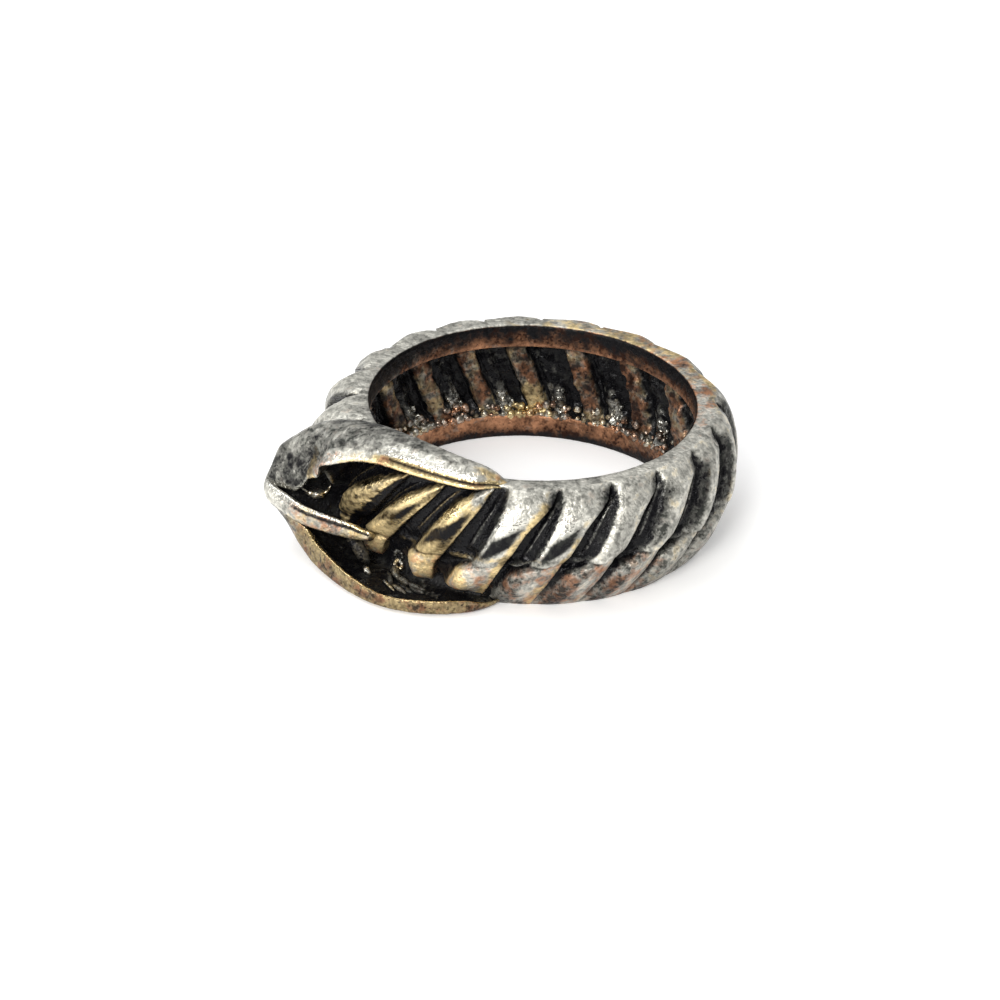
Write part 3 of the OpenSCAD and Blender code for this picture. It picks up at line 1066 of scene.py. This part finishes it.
draw = random.Random(BEADS_SEED)
bm = bmesh.new()
layers = [bm.verts.layers.float.new(finish) for finish in FINISHES]
angle = STEP_FROM
while angle < STEP_TO:
    gold = 0.7 * hump(93, 6, angle)
    metal = (draw.uniform(0.22, 0.68) - 0.3 * gold, 0.25 + gold, 0.40 - 0.4 * gold, 0.6)
    size = draw.uniform(0.12, 0.28)
    out = draw.uniform(0.12, 0.20)
    bead(bm, layers, polar(angle, out, -STEP_Z + draw.uniform(-0.05, 0.14)), size, metal)
    if draw.random() < 0.85:
        height = -STEP_Z + draw.uniform(0.15, 0.75)
        out = draw.uniform(0.34, 0.44)
        bead(bm, layers, polar(angle + 1, out, height), draw.uniform(0.13, 0.27), metal)
    angle += draw.uniform(1.0, 3.0)
for i in range(RIBS):
    top, lean, _ = GROOVES[i]
    for _ in range(BEADS_BEHIND_RIB):
        height = -STEP_Z + draw.uniform(0.3, 1.5)
        angle = top + 1.5 + draw.uniform(-1.6, 2.6) - lean * (HALF_H - height) / (2 * HALF_H)
        metal = (draw.uniform(0.30, 0.85), 0.1, 0.0, 0.8)
        out = draw.uniform(0.50, 0.60) + 0.14 * ease(-1.5, -0.7, height)
        bead(bm, layers, polar(angle, out, height), draw.uniform(0.10, 0.20), metal)

# in the mouth: azimuth, out, height of both ends, size, how dark
MOUTH_BEADS = [
    (228.6, 1.75, -2.60, 231.2, 2.00, -2.80, 0.20, 0.66),
    (231.2, 2.00, -2.80, 235.5, 2.10, -2.88, 0.18, 0.72),
    (235.5, 2.10, -2.86, 240.9, 2.10, -2.92, 0.17, 0.75),
    (228.0, 2.00, -2.86, 232.0, 2.60, -3.00, 0.13, 0.74),
    (232.5, 2.60, -2.92, 237.0, 2.80, -2.95, 0.13, 0.66),
    (229.0, 2.60, -2.92, 234.0, 3.00, -2.92, 0.10, 0.50),
    (233.5, 2.30, -2.98, 238.0, 2.50, -3.05, 0.16, 0.78),
    (230.0, 1.80, -3.00, 233.0, 2.00, -3.10, 0.16, 0.78),
    (238.0, 2.40, -2.88, 241.5, 2.30, -2.95, 0.12, 0.78),
    (222.2, 2.60, -2.82, 223.4, 2.68, -2.86, 0.20, 0.40),
    (217.1, 2.70, -1.50, 221.5, 2.58, -2.25, 0.36, 0.82),
    (198.6, 3.95, -0.15, 199.0, 3.55, -0.46, 0.08, 0.10),
    (199.0, 3.58, -0.42, 199.3, 3.30, -0.56, 0.20, 0.0),
    (199.3, 3.30, -0.50, 199.6, 2.95, -0.56, 0.27, 0.0),
    (199.5, 2.85, -0.60, 199.8, 2.60, -0.40, 0.11, 0.05),
    (199.8, 2.60, -0.40, 200.2, 2.46, -0.05, 0.08, 0.05),
]
for *ends, size, dull in MOUTH_BEADS:
    bead(bm, layers, polar(*ends[:3]), size, (dull, 0.35, 0.1, 0.6), polar(*ends[3:]))
loop(bm, layers, 227.6, 1.24, -2.12, 0.27, 0.10, (0.72, 0.1, 0.0, 0.8))
loop(bm, layers, 228.4, 1.38, -2.56, 0.24, 0.13, (0.40, 0.5, 0.2, 0.6))
beads = new_piece("casting_beads", bm)

# %% [markdown]
# The metal is brass with a thin silver plate. One finish covers the whole casting:
# the four layers of the mesh say where black tarnish, bare brass, coppery brass and
# rubbed plate are, and noise breaks their borders up, because real wear is patchy.
# The tarnish and rubbed-plate layers also carry the painted shade and painted highlights set above.
# It is built as a node group, which takes the four layers and gives back a colour, a
# roughness, how metallic the place is and its small bumps.

# %% Finish: node helpers
def add_node(tree, kind, inputs=None, **settings):
    node = tree.nodes.new(kind)
    for name, value in settings.items():
        setattr(node, name, value)
    for key, value in (inputs or {}).items():
        if isinstance(value, bpy.types.NodeSocket):
            tree.links.new(value, node.inputs[key])
        else:
            node.inputs[key].default_value = value
    return node


def maths(tree, operation, a, b):
    return add_node(tree, "ShaderNodeMath", {0: a, 1: b}, operation=operation).outputs[0]


def spread(tree, value, low, high, to_low=0.0, to_high=1.0):
    return add_node(
        tree,
        "ShaderNodeMapRange",
        {"Value": value, "From Min": low, "From Max": high, "To Min": to_low, "To Max": to_high},
        interpolation_type="SMOOTHSTEP",
    ).outputs["Result"]


def blend(tree, share, a, b):
    """Mixes two colours; 6, 7 and output 2 are the mix node's sockets for them."""
    a, b = (value if isinstance(value, bpy.types.NodeSocket) else (*value, 1.0) for value in (a, b))
    return add_node(tree, "ShaderNodeMix", {0: share, 6: a, 7: b}, data_type="RGBA").outputs[2]


# %% Finish: aged plate group
SILVER = (0.050, 0.052, 0.046), (0.72, 0.705, 0.635)
BRASS = (0.040, 0.026, 0.010), (0.84, 0.66, 0.35)
COPPER = (0.035, 0.013, 0.007), (0.59, 0.29, 0.155)
TARNISH = (0.004, 0.004, 0.005)

# grains to the millimetre, detail, roughness
BLOTCH = (0.9, 2.0, 0.55)
MOTTLE = (2.3, 2.0, 0.6)
SPECK = (5.4, 1.0, 0.6)
PITS = (5.2, 1.0, 0.5)
BUMP_DEPTH = 0.07 * MM


def aged_plate():
    tree = bpy.data.node_groups.new("aged plate", "ShaderNodeTree")
    add, minus, times = (partial(maths, tree, name) for name in ("ADD", "SUBTRACT", "MULTIPLY"))
    for finish in FINISHES:
        tree.interface.new_socket(finish.capitalize(), in_out="INPUT", socket_type="NodeSocketFloat")
    tree.interface.new_socket("Color", in_out="OUTPUT", socket_type="NodeSocketColor")
    for name in ("Roughness", "Metallic", "Height"):
        tree.interface.new_socket(name, in_out="OUTPUT", socket_type="NodeSocketFloat")
    given = tree.nodes.new("NodeGroupInput").outputs
    result = tree.nodes.new("NodeGroupOutput").inputs

    place = tree.nodes.new("ShaderNodeTexCoord").outputs["Object"]
    in_mm = {0: place, "Scale": 1000.0}
    place = add_node(tree, "ShaderNodeVectorMath", in_mm, operation="SCALE").outputs[0]

    def noise_of(scale, detail, rough):
        inputs = {"Vector": place, "Scale": scale, "Detail": detail, "Roughness": rough}
        return add_node(tree, "ShaderNodeTexNoise", inputs).outputs[0]

    blotch = spread(tree, noise_of(*BLOTCH), 0.34, 0.66, -0.5, 0.5)
    mottle = spread(tree, noise_of(*MOTTLE), 0.36, 0.64, -0.5, 0.5)
    speck = spread(tree, noise_of(*SPECK), 0.36, 0.64, -0.5, 0.5)
    pits = spread(tree, noise_of(*PITS), 0.60, 0.70)

    def patchy(value, by_blotch, by_mottle, low, high):
        total = add(value, times(blotch, by_blotch))
        total = add(total, times(mottle, by_mottle))
        return spread(tree, total, low, high)

    # the oxide and polish layers also carry painted shade and painted highlights, which reach the colour here
    wear_and_painted_light = minus(times(given["Polish"], 0.45), given["Oxide"])
    tone = add(times(mottle, 0.42), times(blotch, 0.25))
    tone = add(tone, times(speck, 0.22))
    tone = add(add(tone, 0.80), wear_and_painted_light)
    brass = patchy(given["Brass"], 0.4, 0.2, 0.2, 0.7)
    copper = patchy(given["Copper"], -0.4, 0.3, 0.2, 0.8)
    stain = add(given["Oxide"], times(pits, 0.16))
    oxide = patchy(stain, 0.12, 0.26, 0.36, 0.96)
    color = blend(tree, tone, *SILVER)
    color = blend(tree, brass, color, blend(tree, tone, *BRASS))
    color = blend(tree, copper, color, blend(tree, tone, *COPPER))
    tree.links.new(blend(tree, oxide, color, TARNISH), result["Color"])

    rubbed = minus(0.44, times(given["Polish"], 0.24))
    rough = add(rubbed, times(mottle, -0.12))
    tree.links.new(rough, result["Roughness"])
    bare = spread(tree, oxide, 0.2, 1.0, 1.0, 0.15)
    matte = spread(tree, given["Polish"], 0.1, 0.7, 0.55, 1.0)
    tree.links.new(times(bare, matte), result["Metallic"])
    height = add(times(mottle, 0.30), times(speck, 0.16))
    height = minus(height, times(pits, 0.25))
    tree.links.new(height, result["Height"])
    return tree


# %% Finish: material
def plate_material():
    material = bpy.data.materials.new("worn silver plate")
    material.use_nodes = True
    tree = material.node_tree
    shader = tree.nodes["Principled BSDF"].inputs
    plate = tree.nodes.new("ShaderNodeGroup")
    plate.node_tree = aged_plate()
    for finish in FINISHES:
        layer = add_node(tree, "ShaderNodeAttribute", attribute_name=finish).outputs["Fac"]
        tree.links.new(layer, plate.inputs[finish.capitalize()])
    tree.links.new(plate.outputs["Color"], shader["Base Color"])
    tree.links.new(plate.outputs["Roughness"], shader["Roughness"])
    tree.links.new(plate.outputs["Metallic"], shader["Metallic"])
    shader["Specular IOR Level"].default_value = 0.15
    bumps = {"Height": plate.outputs["Height"], "Strength": 1.0, "Distance": BUMP_DEPTH}
    bump = add_node(tree, "ShaderNodeBump", bumps)
    tree.links.new(bump.outputs["Normal"], shader["Normal"])
    return material


plate_finish = plate_material()
for piece in (band, knot, strand, beads):
    piece.data.materials.append(plate_finish)
    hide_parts(NODE)
    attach(piece, BODY)
print(f"{plate_finish.name}: {', '.join(FINISHES)}")

# %% [markdown]
# The photograph was taken on white card under broad, soft light. Polished metal shows
# what stands around it, so the light is built from large panels: two in front for the
# highlights along the ribs, one at the side that looks into the mouth, one above, and
# a cooler one behind on the left. The card gives a little light of its own, so that
# it stays white, and the sky is brighter overhead than at the horizon.

# %% Floor
HALF_FLOOR = 2.0

bm = bmesh.new()
on_floor = Matrix.Translation((0, 0, node_low.z))
bmesh.ops.create_grid(bm, x_segments=1, y_segments=1, size=HALF_FLOOR, matrix=on_floor)
floor = new_piece("floor", bm)
card = bpy.data.materials.new("white card")
card.use_nodes = True
paper = card.node_tree.nodes["Principled BSDF"].inputs
paper["Base Color"].default_value = (0.93, 0.93, 0.93, 1)
paper["Roughness"].default_value = 0.9
paper["Specular IOR Level"].default_value = 0.1
paper["Emission Color"].default_value = (1, 1, 1, 1)
paper["Emission Strength"].default_value = 0.21
floor.data.materials.append(card)


# %% Light
PANEL_AWAY = 0.60
WARM = (1.0, 0.98, 0.95)
WHITE = (1.0, 1.0, 1.0)
COOL = (0.93, 0.97, 1.0)

# name, azimuth, elevation, width, height, watts, colour
PANELS = [
    ("front panel", 252, 34, 0.20, 0.14, 2.0, WARM),
    ("low panel", 248, 9, 0.30, 0.08, 0.5, WARM),
    ("side panel", 214, 10, 0.22, 0.12, 0.8, WARM),
    ("top panel", 150, 70, 0.45, 0.35, 1.0, WHITE),
    ("left panel", 165, 30, 0.20, 0.20, 0.4, COOL),
]


def panel(name, azimuth, elevation, width, height, watts, color):
    light = bpy.data.lights.new(name, "AREA")
    light.shape = "RECTANGLE"
    light.size = width
    light.size_y = height
    light.energy = watts
    light.color = color
    lamp = bpy.data.objects.new(name, light)
    turn, up = math.radians(azimuth), math.radians(elevation)
    aim = Vector((math.cos(turn) * math.cos(up), math.sin(turn) * math.cos(up), math.sin(up)))
    place = aim * PANEL_AWAY
    lamp.matrix_world = Matrix.Translation(place) @ place.to_track_quat("Z", "Y").to_matrix().to_4x4()
    bpy.context.scene.collection.objects.link(lamp)


for row in PANELS:
    panel(*row)
print(f"{len(PANELS)} panels, {sum(row[5] for row in PANELS):.1f} W")

# %% Sky
world = bpy.data.worlds.new("studio")
world.use_nodes = True
tree = world.node_tree
direction = tree.nodes.new("ShaderNodeTexCoord").outputs["Generated"]
height = add_node(tree, "ShaderNodeSeparateXYZ", {0: direction}).outputs["Z"]
sky = spread(tree, height, 0.0, 0.7, 0.10, 0.75)
tree.links.new(sky, tree.nodes["Background"].inputs["Strength"])
tree.nodes["Background"].inputs["Color"].default_value = (1, 1, 1, 1)
bpy.context.scene.world = world
bpy.context.scene.view_settings.view_transform = "Standard"
